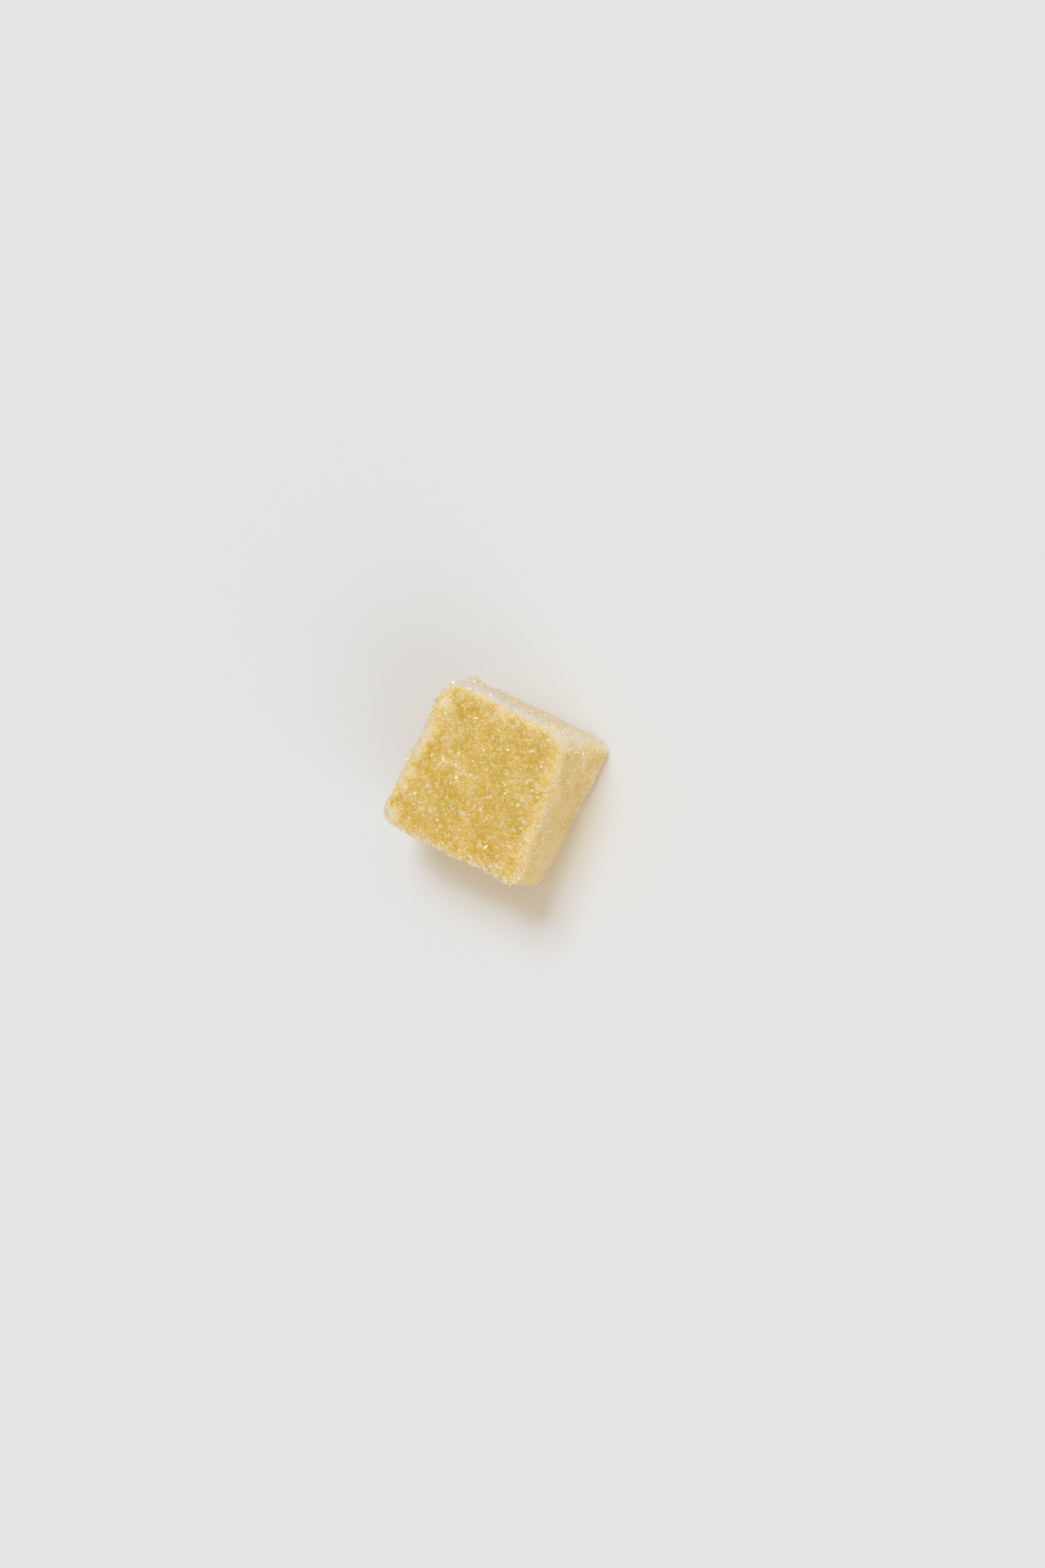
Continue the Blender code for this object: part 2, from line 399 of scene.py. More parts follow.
def shares(out):
    """How much each spot belongs to each side of the block, from 0 to 1, by the direction out of it."""
    toward = np.clip(out, 0, 1) ** 2
    away = np.clip(-out, 0, 1) ** 2
    return {
        "right": toward[:, 0], "back": toward[:, 1], "top": toward[:, 2],
        "left": away[:, 0], "front": away[:, 1], "under": away[:, 2],
    }


def by_side(out, values):
    """A value for each spot, blended over the edges from the values of the sides."""
    belongs = shares(out)
    return sum(belongs[side] * value for side, value in values.items())


def soft_field(points, lengths, seed, wave_count=48):
    """A smooth random field with a spread of about 1, made of waves of these lengths in metres."""
    draw = np.random.default_rng(seed)
    headings = unit(draw.normal(size=(wave_count, 3)))
    pitch = 2 * math.pi / draw.uniform(*lengths, size=(wave_count, 1))
    phase = draw.uniform(0, 2 * math.pi, size=wave_count)
    return np.sin(points @ (headings * pitch).T + phase).sum(axis=1) * math.sqrt(2 / wave_count)


some_places, _ = block_surface(random_cube_points(np.random.default_rng(1), TRIAL_PLACES))
trial_field = soft_field(some_places, TRIAL_LENGTHS, seed=2)
print("The spread of a field is", round(float(trial_field.std()), 2))

# %% [markdown]
# How white the sugar is
#
# The coat isn't the same all round. On the large face the grains are clear and leave golden gaps. The
# cut sides hold finer, drier sugar that scatters the light, so they look paler. The edge between the
# top and the back is made nearly white: partly the close coat of sugar seen edge-on, and partly a
# painted sheen of the light that comes from behind. The borders of the top have whiter patches. This
# could be painted by hand as a mask. One number, the frosting, says it all in a formula, and both the
# jelly's finish and the grains use it, so that they agree.

# %% Frosting by side, edge and patch
Border = namedtuple("Border", "axis side amount start")

FROST = {"top": 0.04, "right": 0.36, "left": 0.50, "back": 0.70, "front": 0.36, "under": 0.35}
# How much whiter the edge between the top and the back is: partly sugar seen edge-on, partly a painted
# sheen of the light from behind.
CREST_FROST_AND_SHEEN = 0.62
CREST_LEAN = 0.22
CREST_STRIP = 0.60
CORNER_FROST = 0.10
BORDER_START = 0.76
BORDERS = (
    Border(axis=0, side=1, amount=0.14, start=BORDER_START),
    Border(axis=0, side=-1, amount=0.68, start=0.66),
    Border(axis=1, side=-1, amount=0.12, start=BORDER_START),
)
PATCHES = 0.55
PATCH_LENGTHS = (0.0009, 0.0028)
CLOUD_FROST = 0.08
CLOUD_LENGTHS = (0.0025, 0.0060)
ON_EDGE = 4


def near_edge(points, axis, side, start=BORDER_START):
    """From 0 where the border of the top face starts to 1 at this edge of it."""
    return np.clip((side * points[:, axis] / HALF[axis] - start) / (1 - start), 0, 1)


def frosting(points, out):
    """How white the coat is at each point: 0 is bare jelly and 1 is dry white sugar.

    Two shares multiplied are at most a quarter, on the edge between their sides, so ON_EDGE makes that 1.
    """
    belongs = shares(out)
    patchy = np.clip(1 + PATCHES * soft_field(points, PATCH_LENGTHS, seed=14), 0, 2)
    # The strip along the top's back edge and that edge itself are whitened: partly sugar seen edge-on,
    # partly a painted sheen of the light from behind.
    strip = CREST_STRIP * near_edge(points, 1, 1) * belongs["top"] * patchy
    crest_and_sheen = np.maximum(ON_EDGE * belongs["back"] * belongs["top"], strip)
    corner = ON_EDGE * belongs["back"] * belongs["right"]
    clouds = CLOUD_FROST * soft_field(points, CLOUD_LENGTHS, seed=3)
    leftward = CREST_LEAN * points[:, 0] / HALF[0]
    frost = by_side(out, FROST) + (CREST_FROST_AND_SHEEN - leftward) * crest_and_sheen + CORNER_FROST * corner + clouds
    for border in BORDERS:
        edge = near_edge(points, border.axis, border.side, border.start)
        frost += border.amount * belongs["top"] * patchy * edge
    return frost


print("Frosting on the middle of the top is about", FROST["top"], "and on the back", FROST["back"])

# %% [markdown]
# The jelly
#
# Under the sugar the jelly is a smooth, soft skin that the grains have pressed little pits into. It could
# be the packed solid itself, but that one has crystals fused to it and few faces. This mesh comes from
# the same functions on a fine grid. It lies deeper by half of the fine coat, because the packed block
# has that much sugar in it. Its corners keep the frosting as an attribute, for the material.

# %% Model the jelly
COAT_DEPTH = 0.00010
JELLY_DIVISIONS = 64
EDGE_CROWDING = 1.4
PIT_DEPTH = 0.00005
PIT_LENGTHS = (0.00045, 0.0011)


def crowd(values):
    """Draws even steps from -1 to 1 towards both ends, so that the rounded edges get more of them."""
    return np.sign(values) * (1 - (1 - np.abs(values)) ** EDGE_CROWDING)


def link(thing):
    """Puts a new object in the scene."""
    bpy.context.scene.collection.objects.link(thing)
    return thing


shape = bmesh.new()
bmesh.ops.create_cube(shape, size=2)
bmesh.ops.subdivide_edges(shape, edges=shape.edges[:], cuts=JELLY_DIVISIONS - 1, use_grid_fill=True)
cube = crowd(np.clip([corner.co[:] for corner in shape.verts], -1, 1))
points, out = block_surface(cube)
frost = frosting(points, out)
pits = PIT_DEPTH * soft_field(points, PIT_LENGTHS, seed=5)
points += out * (np.clip(pits, -PIT_DEPTH, PIT_DEPTH) - COAT_DEPTH)[:, None] + origin_shift
for corner, point in zip(shape.verts, points):
    corner.co = point
bmesh.ops.recalc_face_normals(shape, faces=shape.faces[:])
jelly = link(bpy.data.objects.new("jelly", bpy.data.meshes.new("jelly")))
shape.to_mesh(jelly.data)
shape.free()
jelly.data.shade_smooth()
jelly.data.attributes.new("frost", "FLOAT", "POINT").data.foreach_set("value", frost.astype(np.float32))
print("The jelly has", len(jelly.data.polygons), "faces")
print("It starts", round(MILLIMETRES * points[:, 2].min(), 3), "mm above the table")

# %% [markdown]
# Where the sugar lies
#
# Sugar sticks wherever the jelly was damp, so the coat is close everywhere but never even. The grains lie
# side by side and hardly ever through each other. Geometry Nodes can spread points with a least distance,
# but one distance for all gives grains of one size. Here far too many spots are thrown at the block,
# and then the largest grains are placed first, each one clearing the spots too near to it. That is
# called dart throwing, and it gives a close, natural packing with no rows in it.

# %% Throw the darts
FINE_SIZES = {
    "top": 0.00030, "right": 0.00022, "left": 0.00024,
    "back": 0.00021, "front": 0.00024, "under": 0.00036,
}
FINE_SPREAD = (0.65, 1.35)
# The power that a random number is raised to, so that most grains are small.
SMALL_MANY = 4
MEDIUM_SIZES = (0.00036, 0.00056)
MEDIUM_SHARE = {
    "top": 0.075, "right": 0.010, "left": 0.014,
    "back": 0.008, "front": 0.014, "under": 0.005,
}
SPOT_COUNT = 190000
GAP_LENGTHS = (0.0006, 0.0022)
GAP_ROUGHNESS = 0.35
GAPS = {"top": 0.35, "right": -1.4, "left": -0.8, "back": -1.7, "front": -0.9, "under": -0.3}
GRAIN_SEED = 41

rng = np.random.default_rng(GRAIN_SEED)
spots, ways = block_surface(random_cube_points(rng, SPOT_COUNT))
dampness = soft_field(spots, GAP_LENGTHS, seed=6) + rng.normal(0, GAP_ROUGHNESS, SPOT_COUNT)
damp = dampness > by_side(ways, GAPS)
spots, ways = spots[damp], ways[damp]
sizes = by_side(ways, FINE_SIZES) * between(FINE_SPREAD, rng.random(len(spots)) ** SMALL_MANY)
medium = rng.random(len(spots)) < by_side(ways, MEDIUM_SHARE)
sizes[medium] = rng.uniform(*MEDIUM_SIZES, medium.sum())
print(len(spots), "damp spots,", medium.sum(), "of them for grains of middle size")

# %% [markdown]
# Side by side, not through each other
#
# Real grains can't share a place. A physics engine could push thousands of them apart, but slowly. To
# ask which spots lie too near to a grain is much quicker, because a KD tree finds the neighbours of a
# point without going through all the others. The coarse crystals are in the tree too, as they were
# there first.

# %% Keep the spots that have room
COARSE_SIZE = 0.00062
CLOSENESS = 0.80


def well_spaced(points, sizes, placed):
    """Which spots to keep so that grains of these sizes lie side by side, the largest placed first.

    The first of them, placed in number, are there already: the others keep clear of them.
    """
    tree = kdtree.KDTree(len(points))
    for k, point in enumerate(points):
        tree.insert(point, k)
    tree.balance()
    free = np.ones(len(points), bool)
    kept = []
    for k in [*range(placed), *placed + np.argsort(-sizes[placed:], kind="stable")]:
        if k >= placed and not free[k]:
            continue
        kept.append(k)
        for _, other, gap in tree.find_range(points[k], CLOSENESS * max(sizes[k], MEDIUM_SIZES[1])):
            if gap < CLOSENESS * (sizes[k] + sizes[other]) / 2:
                free[other] = False
    return np.array(kept)[placed:] - placed


standing = np.concatenate([coarse_places[0], heap_places[0]])
standing_sizes = np.full(len(standing), COARSE_SIZE)
kept = well_spaced(
    np.concatenate([standing, spots]), np.concatenate([standing_sizes, sizes]), len(standing)
)
spots, ways, sizes, medium = spots[kept], ways[kept], sizes[kept], medium[kept]
print(len(spots), "grains have room,", medium.sum(), "of them of middle size")

# %% [markdown]
# From eight corners to a solid crystal
#
# A box with sharp edges looks like plastic. Real crystals have their edges and corners worn off by the
# sifting, and each little facet catches the light on its own. A Bevel modifier would wear them too, but
# on so many crystals it takes long, and it can't tell the foot in the jelly from the top. So each of
# the eight corners becomes three points, one on each face that meets there. The fine grains are too
# small for all of that to show, so only their upper edges are worn.

# %% Wear the edges off
# The same eight corners, with -1 and 1 in all three directions.
SIGNS = CUBE_CORNERS * (1, 1, 2) - (0, 0, 1)


def neighbour(corner, axis):
    """The corner at the other end of this corner's edge along the axis."""
    flip = np.where(np.arange(3) == axis, -1, 1)
    return np.flatnonzero((SIGNS == SIGNS[corner] * flip).all(axis=1))[0]


NEIGHBOURS = np.array([[neighbour(corner, axis) for axis in range(3)] for corner in range(8)])


def worn_all_round(corners, wear):
    """Three points for each corner, one on each face that meets there. wear is the strips' width."""
    toward = unit(corners[:, NEIGHBOURS] - corners[:, :, None])
    inward = toward.sum(axis=2, keepdims=True) - toward
    return (corners[:, :, None] + wear[:, None, None, None] * inward).reshape(-1, 24, 3)


def worn_on_top(corners, wear):
    """The four corners at the foot, four at the shoulder and four round the worn top."""
    foot, top = corners[:, :4], corners[:, 4:]
    toward = unit(corners[:, NEIGHBOURS[4:]] - top[:, :, None])
    wide = wear[:, None, None]
    shoulder = top + wide * toward[:, :, 2]
    summit = top + wide * toward[:, :, :2].sum(axis=2)
    return np.concatenate([foot, shoulder, summit], axis=1)


print("Corner 0 has the neighbours", NEIGHBOURS[0].tolist())

# %% [markdown]
# The faces of a worn crystal
#
# A crystal worn all round has six faces, twelve narrow strips along its edges and eight triangles at its
# corners. The faces could be written down as lists of numbers, but one slip would leave a hole. Worked
# out from the corners' signs, they are sure to close, and every crystal of the kind shares them.

# %% Faces that all crystals of a kind share
TRIAL_WEAR = np.array([0.3])


def facing_out(faces, points):
    """Turns each face of a convex shape so that it faces out."""
    turned = []
    for face in faces:
        ring = points[list(face)]
        normal = sum(np.cross(ring[k - 1] - ring[0], ring[k] - ring[0]) for k in range(2, len(face)))
        inside_out = normal @ (ring.mean(axis=0) - points.mean(axis=0)) < 0
        turned.append([int(k) for k in (face[::-1] if inside_out else face)])
    return turned


def all_round_faces():
    """The six faces, twelve strips and eight corners of a crystal that is worn all round."""
    point = np.arange(24).reshape(8, 3)
    faces = [point[k] for k in range(8)]
    for axis in range(3):
        one, two = (other for other in range(3) if other != axis)
        for sign in (-1, 1):
            ring = [k for k in range(8) if SIGNS[k, axis] == sign]
            ring.sort(key=lambda k: math.atan2(SIGNS[k, one], SIGNS[k, two]))
            faces.append(point[ring, axis])
        for k in range(8):
            end = NEIGHBOURS[k, axis]
            if end > k:
                faces.append([point[k, one], point[end, one], point[end, two], point[k, two]])
    return facing_out(faces, worn_all_round(SIGNS[None].astype(float), TRIAL_WEAR)[0])


def top_faces():
    """The foot, walls, worn strips and top of a fine grain."""
    step = [(k, (k + 1) % 4) for k in range(4)]
    faces = [[0, 1, 2, 3], [8, 9, 10, 11]]
    faces += [[a, b, b + 4, a + 4] for a, b in step]
    faces += [[a + 4, b + 4, b + 8, a + 8] for a, b in step]
    return facing_out(faces, worn_on_top(SIGNS[None].astype(float), TRIAL_WEAR)[0])


ALL_ROUND, ON_TOP = all_round_faces(), top_faces()
ALL_ROUND_RIMS = [not (len(face) == 4 and len({k % 3 for k in face}) == 1) for face in ALL_ROUND]
ON_TOP_RIMS = [min(face) >= 4 and max(face) >= 8 and len({k // 4 for k in face}) == 2 for face in ON_TOP]
print("A crystal worn all round has", len(ALL_ROUND), "faces,", sum(ALL_ROUND_RIMS), "of them worn edges")
print("A fine grain has", len(ON_TOP), "faces,", sum(ON_TOP_RIMS), "of them worn edges")

# %% [markdown]
# One mesh for thousands of grains
#
# Thousands of objects would make Blender slow, and a modifier's copies can't each have their own form.
# So all grains of a kind are one mesh, put together from the array of their points. The material needs
# to know two things: each grain's own whiteness, its tone, and which faces are worn edges. Both are
# attributes. Each grain has a small square of the texture map too, its rims in the right half.

# %% Join the grains of a kind
# Shares of a grain's square: how far right the rims lie, and the middle and reach of the points.
RIM_SHIFT = 0.5
MAP_MIDDLE = (0.25, 0.5)
MAP_REACH = (0.18, 0.36)


def number_each(mesh, name, domain, values):
    """Gives each point or face of the mesh a number of its own, which a material can read by name."""
    mesh.attributes.new(name, "FLOAT", domain).data.foreach_set("value", values.astype(np.float32))


def map_grains(mesh, count, width, faces, rims):
    """Gives each grain a square of the texture map, with its worn edges in the square's right half."""
    across = math.ceil(math.sqrt(count))
    corner = np.array([k for face in faces for k in face])
    half = np.repeat(rims, [len(face) for face in faces])
    angle = 2 * math.pi * corner / width
    grain = np.repeat(np.arange(count), len(corner))
    sideways = MAP_MIDDLE[0] + RIM_SHIFT * half + MAP_REACH[0] * np.cos(angle)
    inside = np.stack([sideways, MAP_MIDDLE[1] + MAP_REACH[1] * np.sin(angle)], axis=1)
    places = (np.stack([grain % across, grain // across], axis=1) + np.tile(inside, (count, 1))) / across
    mesh.uv_layers.new(name="OFBake").uv.foreach_set("vector", places.astype(np.float32).ravel())


def make_grains(name, points, faces, rims, tones):
    """One mesh of many grains: points is grains by points by x, y and z, and each has the same faces.

    A grain that would reach through the table is lifted onto it.
    """
    count, width = points.shape[:2]
    below = np.minimum(points[:, :, 2].min(axis=1), 0)
    points = points - np.stack([0 * below, 0 * below, below], axis=1)[:, None]
    starts = range(0, count * width, width)
    rings = [[start + corner for corner in face] for start in starts for face in faces]
    mesh = bpy.data.meshes.new(name)
    mesh.from_pydata(points.reshape(-1, 3).tolist(), [], rings)
    number_each(mesh, "tone", "POINT", np.repeat(tones, width))
    number_each(mesh, "rim", "FACE", np.tile(np.array(rims, dtype=float), count))
    map_grains(mesh, count, width, faces, rims)
    triangles = count * sum(len(face) - 2 for face in faces)
    print(name, "has", count, "grains and", triangles, "triangles")
    return link(bpy.data.objects.new(name, mesh))


print("The map of", CRYSTAL_COUNT, "grains is", math.ceil(math.sqrt(CRYSTAL_COUNT)), "squares across")

# %% [markdown]
# The coarse crystals and the heap
#
# The largest crystals are the ones that a viewer can count, and each has a facet or two that flashes.
# They stand in the solid with sharp edges. Here the same corners get worn edges, by a share of the
# crystal's size that differs from one to the next. The heap is a piece of its own because its sugar is
# dry and white.

# %% Make the coarse crystals
WEAR = (0.07, 0.19)
HEAP_WEAR = 0.08
HEAP_TONE = 0.8
WEAR_SEED = 52


def worn_width(length, draws):
    """How wide the worn strips of each grain are."""
    return length * between(WEAR, draws[:, 3])


coarse_draws = np.random.default_rng(WEAR_SEED).random((CRYSTAL_COUNT, 4))
coarse_wear = worn_width(np.full(CRYSTAL_COUNT, COARSE_SIZE), coarse_draws)
heap_wear = np.full(HEAP_CRYSTALS, HEAP_WEAR * COARSE_SIZE)
coarse = make_grains(
    "coarse_crystals",
    worn_all_round(coarse_corners + origin_shift, coarse_wear),
    ALL_ROUND,
    ALL_ROUND_RIMS,
    coarse_draws[:, 0],
)
heap = make_grains(
    "heap_crystals",
    worn_all_round(heap_corners + origin_shift, heap_wear),
    ALL_ROUND,
    ALL_ROUND_RIMS,
    np.full(HEAP_CRYSTALS, HEAP_TONE),
)

# %% [markdown]
# The grains of middle size and the fine grains
#
# Most of the coat is fine grains a quarter of a millimetre long, with some larger ones among them. Damp
# jelly wets its grains and makes them clear, and the dry ones stay pale. A material alone could mix the
# two by chance, but pale sugar lies in clusters, so each grain's tone is the frosting at its place plus
# some chance of its own. The foot of each grain is set by depth and not by size, because it has to
# reach the jelly under the coat.

# %% Make the smaller grains
GRAIN = Kind((0.50, 0.98), (0.45, 0.80), 0.74, 0.16, 0.16, math.radians(36))
FOOT_DEPTH = (0.00011, 0.00018)
CLUSTER_LENGTHS = (0.0008, 0.0024)
CLUSTER_FROST = 0.26
CLUSTER_START = 0.7
CLUMP_TONE = 0.10
CHANCE_TONE = 0.14
MEDIUM_TONE = 0.5
PALE_FROM = 0.40
PIECE_GRAINS = 9900


def clusters(points):
    """The extra whiteness where some grains stuck together."""
    return CLUSTER_FROST * np.clip(soft_field(points, CLUSTER_LENGTHS, seed=12) - CLUSTER_START, 0, None)


def grains_at(places, out, length, rng):
    """The corners of grains of these lengths, each with its foot in the jelly, and their draws."""
    draws = rng.random((len(places), DRAWS))
    height = length * between(GRAIN.height, draws[:, 2])
    sunk = between(FOOT_DEPTH, draws[:, 0]) / height
    return crystal_corners(places, out, draws, GRAIN, length, sunk), draws


def in_parts(name, mine, most):
    """Splits the grains that the mask picks into named parts with no more than this many in each."""
    picked = np.flatnonzero(mine)
    parts = np.array_split(picked, math.ceil(len(picked) / most))
    return [(f"{name}_{part + 1}", some) for part, some in enumerate(parts)]


clumps = soft_field(spots, CLUSTER_LENGTHS, seed=8)
chance = rng.exponential(CHANCE_TONE, len(spots))
tone = frosting(spots, ways) + clusters(spots) + CLUMP_TONE * clumps + chance
tone[medium] += rng.uniform(0, MEDIUM_TONE, medium.sum())
pale = tone > PALE_FROM
batches = [("medium_grains", np.flatnonzero(medium), worn_all_round, ALL_ROUND, ALL_ROUND_RIMS)]
for kind, mine in (("clear_grains", ~medium & ~pale), ("pale_grains", ~medium & pale)):
    for name, some in in_parts(kind, mine, PIECE_GRAINS):
        batches.append((name, some, worn_on_top, ON_TOP, ON_TOP_RIMS))
grain_pieces = []
for name, some, wear_off, faces, rims in batches:
    corners, draws = grains_at(spots[some] + origin_shift, ways[some], sizes[some], rng)
    points = wear_off(corners, worn_width(sizes[some], draws))
    grain_pieces.append(make_grains(name, points, faces, rims, np.clip(tone[some], 0, 1)))

# %% [markdown]
# Sugar dust
#
# The finest sugar is hardly more than dust. It lies between the grains, also where the jelly looks bare.
# It could be a speckle in the jelly's material, but then it would lie flat and never hide the edge of
# anything. It is too small for worn edges, so each speck is a plain little block of twelve triangles,
# and it is thrown anywhere, as dust does lie on other dust.

# %% Scatter the dust
DUST = Kind((0.70, 1.0), (0.60, 1.0), 0.85, 0.10, 0.10, math.radians(40))
DUST_COUNT = 27000
DUST_THROWN = 60000
DUST_PIECE = 16500
SIDE_DUST = 0.50
DUST_SIZES = (0.00008, 0.00018)
SMALL_DUST_MANY = 1.5
DUST_SUNK = (0.25, 0.60)
DUST_TONES = (0.05, 0.45)
MOSTLY = 0.5
DUST_SEED = 77


def plain_faces():
    """The six faces of a block."""
    ring = [(k, (k + 1) % 4) for k in range(4)]
    faces = [[0, 1, 2, 3], [4, 5, 6, 7]] + [[a, b, b + 4, a + 4] for a, b in ring]
    return facing_out(faces, SIGNS.astype(float))


rng = np.random.default_rng(DUST_SEED)
specks, ways = block_surface(random_cube_points(rng, DUST_THROWN))
wanted = np.maximum(shares(ways)["top"], SIDE_DUST) > rng.random(DUST_THROWN)
seen = wanted & (specks[:, 2] > CLEAR_OF_TABLE / 2)
specks, ways = specks[seen][:DUST_COUNT], ways[seen][:DUST_COUNT]
dust_tone = frosting(specks, ways) + clusters(specks) + rng.uniform(*DUST_TONES, len(specks))
length = between(DUST_SIZES, rng.random(len(specks)) ** SMALL_DUST_MANY)
draws = rng.random((len(specks), DRAWS))
places = specks - COAT_DEPTH * ways + origin_shift
corners = crystal_corners(places, ways, draws, DUST, length, between(DUST_SUNK, draws[:, 3]))
faces = plain_faces()
on_top = shares(ways)["top"] > MOSTLY
for kind, mine in (("clear_dust", on_top), ("pale_dust", ~on_top)):
    for name, some in in_parts(kind, mine, DUST_PIECE):
        tones = np.clip(dust_tone[some], 0, 1)
        grain_pieces.append(make_grains(name, corners[some], faces, [False] * len(faces), tones))

# %% [markdown]
# Shader maths
#
# A material is a tree of small nodes, and adding nodes one by one hides what they work out. This class
# wraps a socket, so that a sum in Python adds the nodes that do it. Numbers go through Math nodes.
# Colours and vectors go through Mix and Vector Math, because a Math node would turn a colour grey.

# %% A socket that can be calculated with
MIX_FACTOR, MIX_FIRST, MIX_SECOND, MIX_RESULT = 0, 6, 7, 2


class Wire:
    """An output socket in a shader tree, which can be added, multiplied and so on."""

    def __init__(self, tree, socket=None):
        self.tree = tree
        self.socket = socket

    def node(self, kind, settings=None, sockets=None, output=0):
        """Adds a node of this kind: its settings come first, then its sockets' values or links."""
        made = self.tree.nodes.new(kind)
        for name, value in (settings or {}).items():
            if name == "stops":
                ramp = made.color_ramp.elements
                while len(ramp) < len(value):
                    ramp.new(1)
                for stop, (place, colour) in zip(ramp, value):
                    stop.position = place
                    stop.color = (*colour, 1)
            else:
                setattr(made, name, value)
        for name, value in (sockets or {}).items():
            if isinstance(value, Wire):
                self.tree.links.new(value.socket, made.inputs[name])
            else:
                made.inputs[name].default_value = value
        return Wire(self.tree, made.outputs[output])

    def maths(self, operation, first, second):
        """A sum of numbers or vectors: the wire's own kind decides which."""
        vector = "VECTOR" in [value.socket.type for value in (first, second) if isinstance(value, Wire)]
        kind = "ShaderNodeVectorMath" if vector else "ShaderNodeMath"
        return self.node(kind, {"operation": operation}, {0: first, 1: second})

    def __add__(self, other):
        return self.maths("ADD", self, other)

    def __sub__(self, other):
        return self.maths("SUBTRACT", self, other)

    def __mul__(self, other):
        return self.maths("MULTIPLY", self, other)

    def __rsub__(self, other):
        return self.maths("SUBTRACT", other, self)

    __radd__, __rmul__ = __add__, __mul__

    def mix(self, first, second):
        """The first colour where this wire is 0 and the second where it is 1."""
        sockets = {MIX_FACTOR: self, MIX_FIRST: first, MIX_SECOND: second}
        return self.node("ShaderNodeMix", {"data_type": "RGBA"}, sockets, MIX_RESULT)


print("The operators of a wire:", [name for name in vars(Wire) if name.startswith("__r")])

# %% [markdown]
# Starting a material
#
# Every finish here is one Principled shader. What is the same all over a surface, such as how strongly
# it bends light, is a plain value on the shader's own socket. What changes from place to place comes by
# a wire. These two helpers keep the two apart, so the materials below are short to read.

# %% A finish and what feeds it
def new_finish(name, **constants):
    """A material with a Principled shader that has these constant values, and a wire to start from."""
    material = bpy.data.materials.new(name)
    material.use_nodes = True
    shader = material.node_tree.nodes["Principled BSDF"]
    for socket, value in constants.items():
        shader.inputs[socket.replace("_", " ")].default_value = value
    return material, shader, Wire(material.node_tree)


def feed(material, shader, **wires):
    """Links wires to the shader's sockets."""
    for socket, wire in wires.items():
        material.node_tree.links.new(wire.socket, shader.inputs[socket.replace("_", " ")])


print("Materials in the scene so far:", len(bpy.data.materials))

# %% [markdown]
# The finish of the jelly
#
# Pectin jelly is a deep, warm yellow. Light goes some millimetres into it and comes out again, which is
# why a candy glows at its edges. Glass filled with a coloured volume would be nearest to the truth, but
# it renders slowly, and nobody can look through a coat of sugar. Subsurface scattering, with red going
# furthest, gives the glow for little. Where the frosting is high, a pale film of the finest sugar covers
# the gold.

# %% Jelly
GOLD = ((0.48, 0.288, 0.010, 1), (0.585, 0.384, 0.036, 1))
FLECK = (0.63, 0.465, 0.11, 1)
FILM_COLOURS = [(0.0, (0.74, 0.545, 0.19)), (0.40, (0.81, 0.635, 0.30)), (1.0, (0.65, 0.585, 0.50))]
FILM_STRENGTH = 1.1
GLOW_DEPTH = 0.0020
GLOW_BY_COLOUR = (1.0, 0.75, 0.40)
# The scales are in patches for each metre: about 4, 0.7 and 0.2 mm apart.
CLOUD_SCALE = 260.0
MOTTLE_SCALE = 1500.0
FINE_SCALE = 5200.0
FLECKS = {"From Min": 0.52, "From Max": 0.68}
BUMP_STRENGTH = 0.6
BUMP_HEIGHT = 0.00004
JELLY_ROUGHNESS = (0.3, 0.6)

jelly_finish, shader, wire = new_finish(
    "fruit_jelly",
    IOR=1.44,
    Subsurface_Weight=1.0,
    Subsurface_Scale=GLOW_DEPTH,
    Subsurface_Radius=GLOW_BY_COLOUR,
)
place = wire.node("ShaderNodeTexCoord", output="Object")
frost = wire.node("ShaderNodeAttribute", {"attribute_name": "frost"}, output="Fac")
mottle = wire.node("ShaderNodeTexNoise", None, {"Vector": place, "Scale": MOTTLE_SCALE, "Detail": 3.0})
cloud = wire.node("ShaderNodeTexNoise", None, {"Vector": place, "Scale": CLOUD_SCALE, "Detail": 2.0})
fine = wire.node("ShaderNodeTexNoise", None, {"Vector": place, "Scale": FINE_SCALE, "Detail": 2.0})
fleck = wire.node("ShaderNodeMapRange", None, {"Value": fine, **FLECKS})
gold = ((mottle + cloud) * 0.5).mix(*GOLD)
film = wire.node("ShaderNodeValToRGB", {"stops": FILM_COLOURS}, {"Fac": frost})
colour = (frost * FILM_STRENGTH).mix(fleck.mix(gold, FLECK), film)
relief = {"Height": fine, "Strength": BUMP_STRENGTH, "Distance": BUMP_HEIGHT}
bump = wire.node("ShaderNodeBump", None, relief)
feed(jelly_finish, shader, Base_Color=colour, Roughness=between(JELLY_ROUGHNESS, mottle), Normal=bump)
jelly.data.materials.append(jelly_finish)
print("The jelly's material has", len(jelly_finish.node_tree.nodes), "nodes")

# %% [markdown]
# Light that goes on through the jelly
#
# The shadow of a candy is warm yellow, and the side away from the window isn't dark, because part of
# the light goes right through the jelly and takes on its colour. To trace that light truly, through two
# soft surfaces, needs very many samples. A Mix Shader does it simply: a ray on its way to a lamp meets a
# tinted see-through shader in the place of the jelly, and every other ray meets the jelly itself.

# %% Let the lamps through
LIGHT_TINT = (0.68, 0.53, 0.17, 1)


def let_lamps_through(material, shader, tint):
    """Lets this share of each lamp's red, green and blue through each surface of the material."""
    tree = material.node_tree
    to_lamp = Wire(tree).node("ShaderNodeLightPath", output="Is Shadow Ray")
    clear = Wire(tree).node("ShaderNodeBsdfTransparent", None, {"Color": tint})
    sockets = {0: to_lamp, 1: Wire(tree, shader.outputs["BSDF"]), 2: clear}
    either = Wire(tree).node("ShaderNodeMixShader", None, sockets)
    tree.links.new(either.socket, tree.nodes["Material Output"].inputs["Surface"])


let_lamps_through(jelly_finish, shader, LIGHT_TINT)
print("Of a lamp's light", [round(share**2, 2) for share in LIGHT_TINT[:3]], "goes through both sides")

